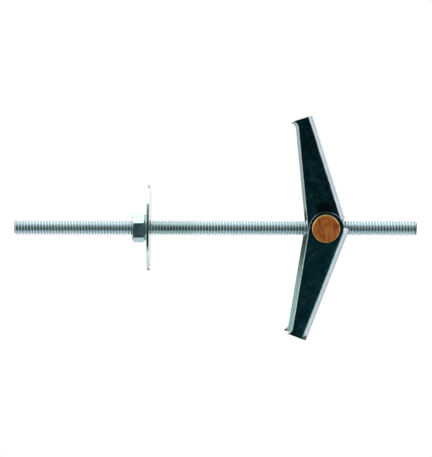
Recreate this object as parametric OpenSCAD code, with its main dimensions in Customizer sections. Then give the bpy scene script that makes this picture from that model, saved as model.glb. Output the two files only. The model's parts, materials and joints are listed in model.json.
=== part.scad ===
// Spring-toggle wall anchor: a threaded rod with a hexagon nut, a lock washer and
// a wide washer on the room side, and a trunnion with two spring-opened channel
// wings behind the wall. Millimetres.
//
// Frame: +X runs along the rod into the cavity behind the wall, +Z points up along
// the upper wing, and the origin is on the rod's axis, in the face of the wide
// washer that bears on the wall.

/* [Threaded rod] */
// Length of the rod from end to end
rod_length = 170; // [150:1:240]
// Length of the rod on the room side of the wall face
rod_room_side = 57.2; // [30:0.1:90]
// Outer diameter of the thread
rod_d = 6.35; // [5.4:0.05:6.8]
// Advance of the thread in one turn
thread_pitch = 1.27; // [0.8:0.01:1.6]

/* [Washers and nut] */
// Outer diameter of the wide washer
washer_d = 36; // [24:0.5:50]
// Thickness of the wide washer
washer_t = 1; // [0.6:0.1:2.5]
// Outer diameter of the split lock washer
lock_washer_d = 11; // [9.5:0.1:14]
// Thickness of the split lock washer
lock_washer_t = 1; // [0.6:0.1:2]
// Width of the split in the lock washer
lock_split = 0.6; // [0.3:0.1:1.2]
// Nut size across its flats
nut_across_flats = 11.11; // [10:0.01:14]
// Height of the nut along the rod
nut_height = 5.4; // [4:0.1:8]
// Turn of the nut: how far its -Y flat looks down
nut_turn = 11.6; // [0:0.1:30]

/* [Toggle head] */
// Distance from the wall face to the trunnion's axis
head_distance = 73.8; // [68:0.1:90]
// Diameter of the trunnion barrel
barrel_d = 11.3; // [10.4:0.1:12.5]
// Extra diameter of the trunnion's staked rims
rim_extra = 0.6; // [0.4:0.1:1.2]
// Thickness of each staked rim
rim_t = 0.45; // [0.3:0.05:1]
// Wire diameter of the torsion spring
wire_d = 0.9; // [0.6:0.05:0.95]
// Whole turns in each half of the spring
spring_turns = 2; // [1:1:2]
// Length of the spring's legs along the wings
spring_reach = 18; // [12:0.5:26]

/* [Wings] */
// Length of each wing from the trunnion's axis to its tip
wing_length = 46.9; // [38:0.1:52]
// Outside width of the wing's channel
wing_width = 17; // [16.5:0.1:24]
// Sheet thickness of the wings
sheet_t = 1.1; // [0.7:0.05:1.3]
// Outside radius of the channel's bends
bend_r = 2; // [1.4:0.1:2.6]
// Distance from the trunnion's axis to the outside of the web
web_distance = 9.1; // [8.9:0.1:12]
// Radius of the ears round the trunnion
ear_r = 7.5; // [7.2:0.1:7.7]
// Angle between the web and the flanges' free edges
flange_taper = 12.1; // [8:0.1:13]
// Radius of the hollow that leads out to each tooth
tooth_r = 3; // [2.5:0.1:6]
// Length of the web's strip beside the notch, past the trunnion's axis
lip_length = 3.4; // [1:0.1:4]
// How far the tip's teeth stand out of the free edges
tooth_height = 1.75; // [0.5:0.05:2.4]
// Lean of the upper wing towards the wall when open
upper_lean = 17.8; // [12:0.1:30]
// Lean of the lower wing towards the wall when open
lower_lean = 21.2; // [12:0.1:30]

/* [Clearances] */
// Radial clearance of the nut's and the trunnion's bores on the thread
thread_clear = 0.05; // [0.01:0.01:0.1]
// Radial clearance of both washers on the rod
washer_clear = 0.3; // [0.1:0.05:0.6]
// Gap between pieces that bear on each other
seat_clear = 0.05; // [0.01:0.01:0.1]
// Radial clearance of the ears on the trunnion
pivot_clear = 0.05; // [0.01:0.01:0.1]
// Gap between the two wings' layered ears, and between ears and rims
layer_clear = 0.3; // [0.2:0.05:0.5]
// Radial clearance of the spring's coils on the trunnion
coil_clear = 0.35; // [0.2:0.05:0.4]
// Gap between the spring's neighbouring turns
turn_clear = 0.04; // [0.02:0.01:0.1]
// Side clearance of the spring and of the web's notch on the rod
rod_side_clear = 0.3; // [0.2:0.05:0.6]
// Height of the web's notch above the rod with the wings open
notch_clear = 0.7; // [0.3:0.1:2]
// Gap between the spring's legs and the webs they press on
leg_clear = 0.3; // [0.1:0.05:0.5]

/* [Hidden] */
$fn = 96;

rod_r = rod_d / 2;
thread_depth = 0.6134 * thread_pitch;      // crest to root of a 60 degree thread
thread_bore_r = rod_r + thread_clear;
washer_bore_r = rod_r + washer_clear;

// Faces of the stack on the room side, from the wall outwards
washer_x = -washer_t;
lock_washer_x = washer_x - lock_washer_t;
nut_x = lock_washer_x - seat_clear - nut_height;
nut_corner_r = nut_across_flats / 2 / cos(30);
nut_chamfer = nut_corner_r - nut_across_flats / 2;

barrel_r = barrel_d / 2;
rim_r = barrel_r + rim_extra / 2;
layer_shift = (sheet_t + layer_clear) / 2; // each channel's offset along the trunnion
outer_ear_y = wing_width / 2 + layer_shift;
inner_ear_y = wing_width / 2 - layer_shift;
rim_y = outer_ear_y + layer_clear / 2;

web_inside = web_distance - sheet_t;
bend_v = web_distance - bend_r;            // where the flanges end and the bends begin
notch_half = rod_r + 2 * rod_side_clear;

wire_r = wire_d / 2;
coil_r = barrel_r + coil_clear + wire_r;
coil_pitch = wire_d + turn_clear;
coil_start_y = rod_r + rod_side_clear + wire_r;
leg_v = web_inside - leg_clear - wire_r;
bridge_corner_r = 1.5;
WIRE_SIDES = 8;                            // flats round the wire
COIL_STEP = 15;                            // degrees between the coil's rings

// The notch's floor clears the rod on the wing that opens furthest
least_lean = min(upper_lean, lower_lean);
notch_floor = (rod_r + notch_clear - web_inside * sin(least_lean)) / cos(least_lean);

function unit(v) = v / norm(v);

// ---- Room side ---------------------------------------------------------------

module threaded_rod() {
    root_r = rod_r - thread_depth;
    color("silver")
    translate([-rod_room_side, 0, 0]) rotate([0, 90, 0]) rotate_extrude()
        polygon([[0, 0], [root_r, 0], [rod_r, thread_depth],
                 [rod_r, rod_length - thread_depth], [root_r, rod_length], [0, rod_length]]);
}

module hex_nut() {
    bevel = nut_chamfer * tan(30);
    color("lightsteelblue")
    translate([nut_x, 0, 0]) rotate([nut_turn, 0, 0]) rotate([0, 90, 0])
    difference() {
        intersection() {
            cylinder(r = nut_corner_r, h = nut_height, $fn = 6);
            rotate_extrude()
                polygon([[0, 0], [nut_corner_r - nut_chamfer, 0], [nut_corner_r + nut_chamfer, 2 * bevel],
                         [nut_corner_r + nut_chamfer, nut_height - 2 * bevel],
                         [nut_corner_r - nut_chamfer, nut_height], [0, nut_height]]);
        }
        translate([0, 0, -1]) cylinder(r = thread_bore_r, h = nut_height + 2);
    }
}

module ring(outer_r, bore_r, thickness) {
    rotate([0, 90, 0]) difference() {
        cylinder(r = outer_r, h = thickness);
        translate([0, 0, -1]) cylinder(r = bore_r, h = thickness + 2);
    }
}

module lock_washer() {
    color("lightsteelblue")
    translate([lock_washer_x, 0, 0]) difference() {
        ring(lock_washer_d / 2, washer_bore_r, lock_washer_t);
        translate([-1, 0, -lock_split / 2]) cube([lock_washer_t + 2, lock_washer_d, lock_split]);
    }
}

module large_washer() {
    color("gainsboro") translate([washer_x, 0, 0]) ring(washer_d / 2, washer_bore_r, washer_t);
}

// ---- Toggle head -------------------------------------------------------------

module trunnion() {
    half = rim_y + rim_t;
    color("peru")
    translate([head_distance, 0, 0]) difference() {
        rotate([90, 0, 0]) rotate_extrude()
            polygon([[0, -half], [rim_r - rim_t / 2, -half], [rim_r, -half + rim_t / 2],
                     [rim_r, -rim_y], [barrel_r, -rim_y], [barrel_r, rim_y], [rim_r, rim_y],
                     [rim_r, half - rim_t / 2], [rim_r - rim_t / 2, half], [0, half]]);
        translate([-barrel_d, 0, 0]) rotate([0, 90, 0]) cylinder(r = thread_bore_r, h = 2 * barrel_d);
    }
}

// A point of the spring at a place along a wing, from its axis (u) and across it (v)
function on_wing(u, v, y, lean, side) =
    [v * cos(lean) - u * sin(lean), y, side * (u * cos(lean) + v * sin(lean))];

// Half of the wire, on the +Y side: from the middle of the bridge that lies on the
// lower wing, up to the coil, round it, and out along the upper wing
function spring_half() = let (
    sweep = 360 * spring_turns + upper_lean + lower_lean,
    steps = ceil(sweep / COIL_STEP),
    slope = (leg_v - coil_r) / spring_reach,
    corner = bridge_corner_r
) concat(
    [for (y = [0, (coil_start_y - corner) / 2])
        on_wing(spring_reach, leg_v, y, lower_lean, -1)],
    [for (a = [0 : 22.5 : 90])
        on_wing(spring_reach - corner * (1 - cos(a)), leg_v - slope * corner * (1 - cos(a)),
                coil_start_y - corner * (1 - sin(a)), lower_lean, -1)],
    [for (u = [spring_reach * 0.6, spring_reach * 0.3])
        on_wing(u, coil_r + slope * u, coil_start_y, lower_lean, -1)],
    [for (i = [0 : steps]) let (a = -lower_lean + sweep * i / steps)
        [coil_r * cos(a), coil_start_y + coil_pitch * sweep / 360 * i / steps, coil_r * sin(a)]],
    [for (u = [spring_reach * 0.3, spring_reach * 0.65, spring_reach])
        on_wing(u, coil_r + slope * u, coil_start_y + coil_pitch * sweep / 360, upper_lean, 1)]
);

function mirrored(points) =
    [for (i = [len(points) - 1 : -1 : 1]) [points[i].x, -points[i].y, points[i].z]];

// Rings of corners round each point of a path, each turned as little as it can be
// from the one before
function tangent_at(path, i) =
    unit(path[min(i + 1, len(path) - 1)] - path[max(i - 1, 0)]);

function wire_rings(path, radius, sides) = let (
    first = unit(cross(tangent_at(path, 0), [1, 0, 0])),
    normals = [for (i = 0, n = first; i < len(path);
                    i = i + 1,
                    n = i < len(path)
                        ? unit(n - (n * tangent_at(path, i)) * tangent_at(path, i)) : n) n]
) [for (i = [0 : len(path) - 1]) let (
        n = normals[i],
        b = cross(tangent_at(path, i), n)
    ) for (k = [0 : sides - 1]) let (a = 360 * k / sides)
        path[i] + radius * (cos(a) * n + sin(a) * b)];

module wire(path, radius, sides) {
    count = len(path);
    polyhedron(
        points = wire_rings(path, radius, sides),
        faces = concat(
            [[for (k = [sides - 1 : -1 : 0]) k]],
            [for (i = [0 : count - 2]) for (k = [0 : sides - 1]) let (
                here = i * sides, next = k == sides - 1 ? 0 : k + 1)
                each [[here + k, here + next, here + sides + next],
                      [here + k, here + sides + next, here + sides + k]]],
            [[for (k = [0 : sides - 1]) (count - 1) * sides + k]]
        ),
        convexity = 10
    );
}

module torsion_spring() {
    half = spring_half();
    color("dimgray") translate([head_distance, 0, 0])
        wire(concat(mirrored(half), half), wire_r, WIRE_SIDES);
}

// ---- Wings -------------------------------------------------------------------
// A wing is drawn upright: u runs up from the trunnion's axis to the tip, and v
// across to the web, which stands on the +X side.

// Side view of a flange, as [v, u] points. Its web edge starts at start_u.
module flange_outline(start_u) {
    tangent = ear_r * [-cos(flange_taper), sin(flange_taper)];
    along = [sin(flange_taper), cos(flange_taper)];
    inward = [cos(flange_taper), -sin(flange_taper)];
    // the tooth's point is at the tip, tooth_height outside the line of the free edge
    edge_length = (wing_length - tangent.y + tooth_height * inward.y) / along.y;
    hollow_angle = acos(1 - tooth_height / tooth_r);
    hollow_start = tangent + (edge_length - tooth_r * sin(hollow_angle)) * along;
    centre = hollow_start - tooth_r * inward;
    difference() {
        union() {
            circle(r = ear_r);
            polygon(concat(
                [[0, start_u], tangent],
                [for (a = [0 : hollow_angle / 6 : hollow_angle + 0.01])
                    centre + tooth_r * (cos(a) * inward + sin(a) * along)],
                [[bend_v, wing_length], [bend_v, start_u]]
            ));
        }
        circle(r = barrel_r + pivot_clear);
        translate([bend_v, start_u]) square(ear_r);     // the bend starts here
    }
}

// A quarter turn of sheet from start_u up to the tip, about the bend's own axis
module bend(start_u) {
    rotate_extrude(angle = 90)
        polygon([[bend_r - sheet_t, start_u], [bend_r, start_u],
                 [bend_r, wing_length], [bend_r - sheet_t, wing_length]]);
}

module wing() {
    low_y = -inner_ear_y;                   // inner ear, on the -Y side
    high_y = outer_ear_y;                   // outer ear, on the +Y side

    // flanges
    for (side = [[low_y + sheet_t, notch_floor], [high_y, -lip_length]])
        translate([0, side[0], 0]) rotate([90, 0, 0])
            linear_extrude(height = sheet_t) flange_outline(side[1]);

    // bends
    translate([bend_v, low_y + bend_r, 0]) rotate([0, 0, -90]) bend(notch_floor);
    translate([bend_v, high_y - bend_r, 0]) bend(-lip_length);

    // web, with the notch that clears the rod
    translate([web_inside, 0, 0]) rotate([90, 0, 90]) linear_extrude(height = sheet_t)
        polygon([[low_y + bend_r, notch_floor], [notch_half, notch_floor], [notch_half, -lip_length],
                 [high_y - bend_r, -lip_length], [high_y - bend_r, wing_length],
                 [low_y + bend_r, wing_length]]);
}

module upper_wing() {
    color("darkslategray")
    translate([head_distance, 0, 0]) rotate([0, -upper_lean, 0]) wing();
}

// The same pressing, turned over about the rod
module lower_wing() {
    color("darkslategray")
    translate([head_distance, 0, 0]) rotate([180, 0, 0]) rotate([0, -lower_lean, 0]) wing();
}

threaded_rod();
hex_nut();
lock_washer();
large_washer();
trunnion();
torsion_spring();
upper_wing();
lower_wing();
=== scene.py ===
# %% [markdown]
# # A spring toggle wall anchor, dressed piece by piece
#
# This anchor holds a load on a hollow wall. A threaded rod runs through a hole in
# the board. Behind the board two sprung wings open across the hole, and in the
# room a nut, a split washer and a wide washer draw the whole thing tight.
#
# The construction model gives every piece its place and its motion. This lesson
# makes each piece again as a finished mesh in the same place: real threads, rolled
# sheet, wound wire and plated, sawn and worn metal.

# %% Load the construction model
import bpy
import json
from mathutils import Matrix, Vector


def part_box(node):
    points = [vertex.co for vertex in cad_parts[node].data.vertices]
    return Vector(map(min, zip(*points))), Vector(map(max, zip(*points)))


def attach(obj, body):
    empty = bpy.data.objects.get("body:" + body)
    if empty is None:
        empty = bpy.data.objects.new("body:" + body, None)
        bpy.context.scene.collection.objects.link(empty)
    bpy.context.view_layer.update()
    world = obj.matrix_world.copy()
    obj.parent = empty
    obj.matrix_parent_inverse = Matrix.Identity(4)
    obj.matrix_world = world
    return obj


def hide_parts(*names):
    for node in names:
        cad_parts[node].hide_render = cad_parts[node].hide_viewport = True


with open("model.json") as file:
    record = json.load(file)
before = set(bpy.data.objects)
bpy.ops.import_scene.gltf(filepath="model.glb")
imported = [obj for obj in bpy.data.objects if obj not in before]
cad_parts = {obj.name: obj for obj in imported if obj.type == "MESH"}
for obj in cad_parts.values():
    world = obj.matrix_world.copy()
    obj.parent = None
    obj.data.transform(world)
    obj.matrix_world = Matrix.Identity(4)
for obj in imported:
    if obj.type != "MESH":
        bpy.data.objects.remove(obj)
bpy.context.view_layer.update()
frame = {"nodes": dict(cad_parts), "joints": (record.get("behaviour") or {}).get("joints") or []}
print("pieces in the frame:", ", ".join(sorted(frame["nodes"])))

# %% [markdown]
# ## Where things are
#
# All places come from the frame: the ends of a piece are the corners of its box,
# and the wings turn about the point that their joints name. Only what a box can't
# tell, such as the pitch of the thread, is written here as a size. Blender works in
# metres, so each size is given in millimetres and multiplied once.

# %% Read the places from the frame
import json
from math import (acos, asin, atan2, ceil, cos, degrees, floor, hypot, inf, pi, radians, sin,
                  sqrt, tan)

import bmesh
import bpy
from mathutils import Matrix, Vector, noise
from mathutils.geometry import delaunay_2d_cdt

MM = 0.001
SAME_POINT = 1e-7  # points closer than this are one

rod_low, rod_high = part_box("threaded_rod")
nut_low, nut_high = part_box("hex_nut")
split_low, split_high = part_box("lock_washer")
wide_low, wide_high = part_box("large_washer")
barrel_low, barrel_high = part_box("trunnion")
upper_low, upper_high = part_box("upper_wing")
lower_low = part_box("lower_wing")[0]

rod_radius = rod_high.z
head = Vector(next(j["pos_m"] for j in frame["joints"] if j["name"] == "upper_wing_fold"))
print(f"rod {rod_high.x - rod_low.x:.3f} m long, {2 * rod_radius:.5f} m across")
print(f"the wings turn {head.x:.4f} m behind the wall's face")

# %% [markdown]
# ## Helpers for meshes
#
# Most of these pieces are turned, rolled or swept, so their surfaces are rows of
# points joined by four-sided faces. `skin` joins the rows. `make_piece` merges points
# that fall together and turns the faces outwards. `settle` finishes a piece: it gives
# it its materials, marks the true edges sharp and leaves the rest smooth, hangs it on
# the body that it rides on and hides the piece of the construction that it stands for.

# %% Define the helpers
def angles(count):
    """Equally spaced angles round one turn."""
    return [2 * pi * k / count for k in range(count)]


def spread(start, end, steps):
    """Equally spaced numbers from a start to an end, both of them among the numbers."""
    return [start + (end - start) * i / steps for i in range(steps + 1)]


def hoop(x, radius, count):
    """Points of a circle round the rod's axis."""
    return [Vector((x, radius * cos(a), radius * sin(a))) for a in angles(count)]


def skin(rows, closed_rows=True):
    """Points and four-sided faces of a surface through rows with equally many points."""
    count = len(rows[0])
    points = [p for row in rows for p in row]
    faces = []
    for i in range(len(rows) - 1):
        for k in range(count if closed_rows else count - 1):
            n = (k + 1) % count
            faces.append((i * count + k, i * count + n, (i + 1) * count + n, (i + 1) * count + k))
    return points, faces


def place_object(name, mesh):
    """An object in the scene for a mesh that is already where it belongs."""
    piece = bpy.data.objects.new(name, mesh)
    bpy.context.scene.collection.objects.link(piece)
    return piece


def make_piece(name, points, faces):
    """An object without double or unused points, whose faces are turned outwards."""
    mesh = bpy.data.meshes.new(name)
    mesh.from_pydata([tuple(p) for p in points], [], faces)
    work = bmesh.new()
    work.from_mesh(mesh)
    bmesh.ops.remove_doubles(work, verts=work.verts, dist=SAME_POINT)
    bmesh.ops.delete(work, geom=[v for v in work.verts if not v.link_faces], context="VERTS")
    bmesh.ops.recalc_face_normals(work, faces=work.faces)
    work.to_mesh(mesh)
    work.free()
    return place_object(name, mesh)


def apply_modifiers(piece):
    """Replace the object's mesh with the one that its modifiers make."""
    ready = piece.evaluated_get(bpy.context.evaluated_depsgraph_get())
    mesh = bpy.data.meshes.new_from_object(ready)
    piece.modifiers.clear()
    piece.data = mesh


def settle(piece, body, materials, nodes, sharp=35, weigh=False):
    """Shade a piece, give it its finish and its body, and hide the construction pieces it stands for.
    """
    for material in materials:
        piece.data.materials.append(material)
    piece.data.polygons.foreach_set("use_smooth", [True] * len(piece.data.polygons))
    piece.data.set_sharp_from_angle(angle=radians(sharp))
    if weigh:
        even = piece.modifiers.new("even_shading", "WEIGHTED_NORMAL")
        even.keep_sharp = True
        apply_modifiers(piece)
    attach(piece, body)
    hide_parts(*nodes)
    print(f"{piece.name}: {len(piece.data.polygons)} faces, rides on {body}")


# %% [markdown]
# ## Shared finishes
#
# Every steel piece here is zinc plated. Plating is never one colour: it is a bright,
# slightly blue metal with soft clouds where the coat is thicker, fine lines left by
# the rolling or cutting before it, and small specks. Wear, dirt and painted shade,
# shadow or reflection keep to places: a rim, or a ring round a pin. Those four effects
# are node groups, built once and placed in each material with that piece's own
# values. They read object coordinates, so the pattern stays on the metal when it moves.

# %% Define helpers for nodes
def add(tree, kind, inputs=None, **settings):
    """A new node with its settings, and its inputs set or linked."""
    node = tree.nodes.new(kind)
    for key, value in settings.items():
        setattr(node, key, value)
    for name, value in (inputs or {}).items():
        if isinstance(value, bpy.types.NodeSocket):
            tree.links.new(value, node.inputs[name])
        else:
            node.inputs[name].default_value = value
    return node


def math_node(tree, operation, *values, clamp=False):
    """The output of a Math node."""
    return add(tree, "ShaderNodeMath", dict(enumerate(values)), operation=operation,
               use_clamp=clamp).outputs[0]


def vector_node(tree, operation, *vectors):
    """The output of a Vector Math node, which is a number for a length or a product."""
    node = add(tree, "ShaderNodeVectorMath", dict(enumerate(vectors)), operation=operation)
    return node.outputs["Value" if operation in ("LENGTH", "DOT_PRODUCT") else "Vector"]


def ramp(tree, value, start, end, low=0.0, high=1.0, smooth=True):
    """From low to high as a value goes from start to end, level on both sides of them."""
    return add(tree, "ShaderNodeMapRange",
               {"Value": value, "From Min": start, "From Max": end, "To Min": low, "To Max": high},
               interpolation_type="SMOOTHSTEP" if smooth else "LINEAR").outputs[0]


def part_tones(tree, value, contrast):
    """A noise's value moved away from a half, which makes its light and dark part."""
    return math_node(tree, "MULTIPLY_ADD", math_node(tree, "SUBTRACT", value, 0.5), contrast, 0.5,
                     clamp=True)


def mix_colour(tree, share, below, above):
    """Two colours mixed by a share; each may be a link or a plain colour."""
    node = add(tree, "ShaderNodeMix", {"Factor": share}, data_type="RGBA")
    for label, colour in (("A", below), ("B", above)):
        if isinstance(colour, bpy.types.NodeSocket):
            tree.links.new(colour, node.inputs[label])
        else:
            node.inputs[label].default_value = (*colour, 1)
    return node.outputs["Result"]


def new_group(name, inputs, outputs):
    """An empty shader group; returns it with the sockets that it is given and that it gives."""
    group = bpy.data.node_groups.new(name, "ShaderNodeTree")
    for label, kind, value in inputs:
        socket = group.interface.new_socket(label, in_out="INPUT", socket_type="NodeSocket" + kind)
        socket.default_value = value
    for label, kind in outputs:
        group.interface.new_socket(label, in_out="OUTPUT", socket_type="NodeSocket" + kind)
    return group, add(group, "NodeGroupInput").outputs, add(group, "NodeGroupOutput").inputs


def object_place(tree):
    """Where a point lies on the object itself, which keeps a pattern on its piece."""
    return add(tree, "ShaderNodeTexCoord").outputs["Object"]


# %% [markdown]
# ### The four effects
#
# A group names what it is given and what it gives, and hides how. The clouds are soft
# noise, the lines are noise stretched along an axis, the specks are the middles of
# scattered cells, and the ring counts how far a point lies from a place.

# %% Build the shader groups
def clouds_group():
    """Soft clouds of two tones, as on electroplate: a colour and the cloud itself."""
    group, given, result = new_group(
        "plating_clouds",
        [("Bright", "Color", (1, 1, 1, 1)), ("Dull", "Color", (0.5, 0.5, 0.5, 1)),
         ("Scale", "Float", 300.0), ("Contrast", "Float", 1.0), ("Detail", "Float", 6.0)],
        [("Color", "Color"), ("Cloud", "Float")])
    noise_node = add(group, "ShaderNodeTexNoise",
                     {"Vector": object_place(group), "Scale": given["Scale"],
                      "Detail": given["Detail"], "Roughness": 0.62})
    cloud = part_tones(group, noise_node.outputs["Fac"], given["Contrast"])
    group.links.new(mix_colour(group, cloud, given["Dull"], given["Bright"]), result["Color"])
    group.links.new(cloud, result["Cloud"])
    return group


def lines_group():
    """Parallel lines: noise whose features have a size of their own along each axis."""
    group, given, result = new_group(
        "drawn_lines",
        [("Size", "Vector", (1, 1, 1)), ("Turn", "Vector", (0, 0, 0)), ("Contrast", "Float", 1.0)],
        [("Line", "Float")])
    laid = add(group, "ShaderNodeMapping",
               {"Vector": object_place(group), "Rotation": given["Turn"], "Scale": given["Size"]},
               vector_type="TEXTURE")
    grain = add(group, "ShaderNodeTexNoise",
                {"Vector": laid.outputs[0], "Scale": 1.0, "Detail": 4.0, "Roughness": 0.6})
    group.links.new(part_tones(group, grain.outputs["Fac"], given["Contrast"]), result["Line"])
    return group


def specks_group():
    """Small scattered spots, as of dust, pits and dried splashes."""
    group, given, result = new_group(
        "specks",
        [("Scale", "Float", 900.0), ("Size", "Float", 0.2), ("Share", "Float", 0.3)],
        [("Speck", "Float")])
    cell = add(group, "ShaderNodeTexVoronoi",
               {"Vector": object_place(group), "Scale": given["Scale"]})
    inside = ramp(group, cell.outputs["Distance"], given["Size"], 0.0, smooth=False)
    chosen = math_node(group, "LESS_THAN", cell.outputs["Color"], given["Share"])
    group.links.new(math_node(group, "MULTIPLY", inside, chosen), result["Speck"])
    return group


def ring_group():
    """0 to 1 between two distances from a point, counted along the axes that Along keeps."""
    group, given, result = new_group(
        "ring",
        [("Centre", "Vector", (0, 0, 0)), ("Along", "Vector", (1, 1, 1)),
         ("None At", "Float", 0.0), ("Full At", "Float", 1.0)],
        [("Mask", "Float")])
    apart = vector_node(group, "SUBTRACT", object_place(group), given["Centre"])
    far = vector_node(group, "LENGTH", vector_node(group, "MULTIPLY", apart, given["Along"]))
    group.links.new(ramp(group, far, given["None At"], given["Full At"]), result["Mask"])
    return group


CLOUDS, LINES, SPECKS, RING = clouds_group(), lines_group(), specks_group(), ring_group()
print("shader groups:", ", ".join(group.name for group in bpy.data.node_groups))

# %% [markdown]
# ## The plated steel
#
# One function makes the steel of each piece. It starts from the clouds, lets the
# lines and specks change the coat a little, and feeds the same masks to the colour,
# the roughness and the relief, so that a mark is seen in all three together. Stains
# and painted shade, shadow or reflection, kept to places such as a rim, and long
# smears are laid over that. A hand-painted picture would do all this too, but it
# would need unwrapping and would not follow a change of size.

# %% Define the steel
def effect(tree, group, **values):
    """A shader group placed in a material with its own values, spaces as underscores."""
    node = add(tree, "ShaderNodeGroup", node_tree=group)
    for name, value in values.items():
        socket = node.inputs[name.replace("_", " ")]
        socket.default_value = (*value, 1) if socket.type == "RGBA" else value
    return node


def ring(centre, along, none_at, full_at):
    """The place of a mark: its middle, the axes that count, where it begins and is full."""
    return dict(Centre=centre, Along=along, None_At=none_at, Full_At=full_at)


def mask(tree, place):
    """The share that a mark has at each point: none outside its place and all inside."""
    return effect(tree, RING, **place).outputs["Mask"]


def new_material(name):
    """A material; returns it with its nodes and its shader."""
    material = bpy.data.materials.new(name)
    material.use_nodes = True
    return material, material.node_tree, material.node_tree.nodes["Principled BSDF"]


def feed(tree, shader, colour, rough, height, distance):
    """Feed a colour, a roughness and a relief of some height to a shader."""
    bump = add(tree, "ShaderNodeBump", {"Height": height, "Distance": distance, "Strength": 1.0})
    tree.links.new(colour, shader.inputs["Base Color"])
    tree.links.new(rough, shader.inputs["Roughness"])
    tree.links.new(bump.outputs["Normal"], shader.inputs["Normal"])


LINE_ROUGHER, SPOT_ROUGHER = 0.25, 0.4  # what a full line and a full spot add to the roughness
RELIEF = 0.004  # millimetres from the bottom of a line to its top


def steel(name, bright, dull, shine, line, cloud_scale=300.0, contrast=1.6, detail=6.0,
          turn=0.0, line_share=0.15, speck=(1100.0, 0.22, 0.12), speck_tone=None, waves=0.0,
          metal=1.0, stains_and_painted_light=(), smears_and_painted_reflection=()):
    """Zinc-plated steel. Sizes are in millimetres; shine is (least, most) roughness.

    Each of the smears_and_painted_reflection is (place, tone, size) and lies in streaks of
    that size in its place; here they are dark smears that also paint a dark reflection.
    Each of the stains_and_painted_light is (places, tone, roughness) and lies where all of
    its places do; it is a real stain or a painted shade, shadow or reflection.
    """
    material, tree, shader = new_material(name)
    shader.inputs["Metallic"].default_value = metal

    clouds = effect(tree, CLOUDS, Bright=bright, Dull=dull, Scale=cloud_scale, Contrast=contrast,
                    Detail=detail)
    lines = effect(tree, LINES, Size=[MM * size for size in line], Turn=(0, turn, 0), Contrast=2.6)
    specks = effect(tree, SPECKS, Scale=speck[0], Size=speck[1], Share=speck[2])
    cloud, line_mark, spot = clouds.outputs["Cloud"], lines.outputs["Line"], specks.outputs["Speck"]

    worn = math_node(tree, "MULTIPLY", line_mark, line_share)
    colour = mix_colour(tree, worn, clouds.outputs["Color"], [0.5 * c for c in dull])
    colour = mix_colour(tree, spot, colour, speck_tone or [0.4 * c for c in dull])
    rough = ramp(tree, cloud, 0.0, 1.0, shine[1], shine[0], smooth=False)
    rough = math_node(tree, "MULTIPLY_ADD", worn, LINE_ROUGHER, rough)
    rough = math_node(tree, "MULTIPLY_ADD", spot, SPOT_ROUGHER, rough, clamp=True)
    # Dark smears in streaks; on the flanges they also paint a dark reflection.
    for place, tone, size in smears_and_painted_reflection:
        streak_pattern = effect(tree, LINES, Size=[MM * side for side in size], Turn=(0, turn, 0), Contrast=3.6)
        share = math_node(tree, "MULTIPLY", streak_pattern.outputs["Line"], mask(tree, place))
        colour = mix_colour(tree, share, colour, tone)
    # Stains and painted shade, shadow or reflection, each laid where all of its places are.
    for places, tone, roughness in stains_and_painted_light:
        share = mask(tree, places[0])
        for place in places[1:]:
            share = math_node(tree, "MULTIPLY", share, mask(tree, place))
        colour = mix_colour(tree, share, colour, tone)
        change = math_node(tree, "SUBTRACT", roughness, rough)
        rough = math_node(tree, "MULTIPLY_ADD", share, change, rough, clamp=True)

    height = math_node(tree, "SUBTRACT", line_mark, spot)
    height = math_node(tree, "MULTIPLY_ADD", cloud, waves / RELIEF, height)
    feed(tree, shader, colour, rough, height, RELIEF * MM)
    return material


# %% [markdown]
# ### A finish for each piece
#
# The thread is rolled, so its lines run round the rod. Its grooves are duller than its
# crests and darker with painted shade, a painted shadow of the wide washer lies on the
# rod beyond it, and both sawn ends are grey. The nut is cut from bar. The wide washer
# is punched from sheet, which leaves it a bare rim. The front of that rim carries a
# painted dark reflection, and the rim is darker at its top and bottom. The split washer
# is darker spring steel.
#
# The wings are pressed from strip whose rolling lines run along them, so each wing has
# a finish of its own, turned to its lean. The tool rubbed their outside smooth and left
# long dark smears on the flanges, which also carry a painted dark reflection, and the
# corners of the tips are darker. The inside is dull, with painted shade that grows
# darker towards the pivot. A painted shadow makes a dark ring round each pivot, painted
# shade darkens the top of the ears' front edge, and painted shade darkens the far end
# of the lower web.

# %% Mix the steels
def lean_of(tip_height):
    """A wing's lean from upright, from how high its outer tip corner stands."""
    return atan2(WEB, LENGTH) + acos(tip_height / hypot(WEB, LENGTH))


WEB, LENGTH = 9.1 * MM, 46.9 * MM  # from the pivot to the web's outside and to the tip
upper_lean, lower_lean = lean_of(upper_high.z), lean_of(-lower_low.z)
rim_radius = (barrel_high.x - barrel_low.x) / 2

ALONG_X, ALONG_Y, ALL_ROUND = (1, 0, 0), (0, 1, 0), (1, 1, 1)
ACROSS_X, ACROSS_Y = (0, 1, 1), (1, 0, 1)

on_rim = ring((0, 0, 0), ACROSS_X, wide_high.z - 0.3 * MM, wide_high.z - 0.12 * MM)
# Painted reflection: the front of the rim is darkened, as it would mirror the dark room in front.
rim_front_painted_reflection = ring((wide_low.x, wide_low.y, 1.8 * MM), ALL_ROUND, 10 * MM, 8.2 * MM)
# The rim's front is darker near its top and bottom.
rim_ends = [([on_rim, ring((wide_low.x, -2.8 * MM, 0.985 * z), ALL_ROUND, 3.6 * MM, 2.7 * MM)],
             tone, 0.4)
            for z, tone in ((wide_low.z, (0.11, 0.12, 0.14)), (wide_high.z, (0.50, 0.46, 0.52)))]

# Painted shadow: a dark ring on the wings just outside the trunnion's rim.
pivot_painted_shadow = ring(head, ACROSS_Y, rim_radius + 0.9 * MM, rim_radius + 0.25 * MM)
# Painted shade: the top of the ears' front edge is darkened.
ear_top_painted_shade = ring((head.x - 0.6 * MM, lower_low.y, head.z + 8 * MM), ALL_ROUND, 5 * MM, 2.4 * MM)
# Painted shade inside the lower wing's channel, darker towards the pivot.
head_side_painted_shade = ring(head, ACROSS_Y, 26 * MM, 10 * MM)
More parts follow.
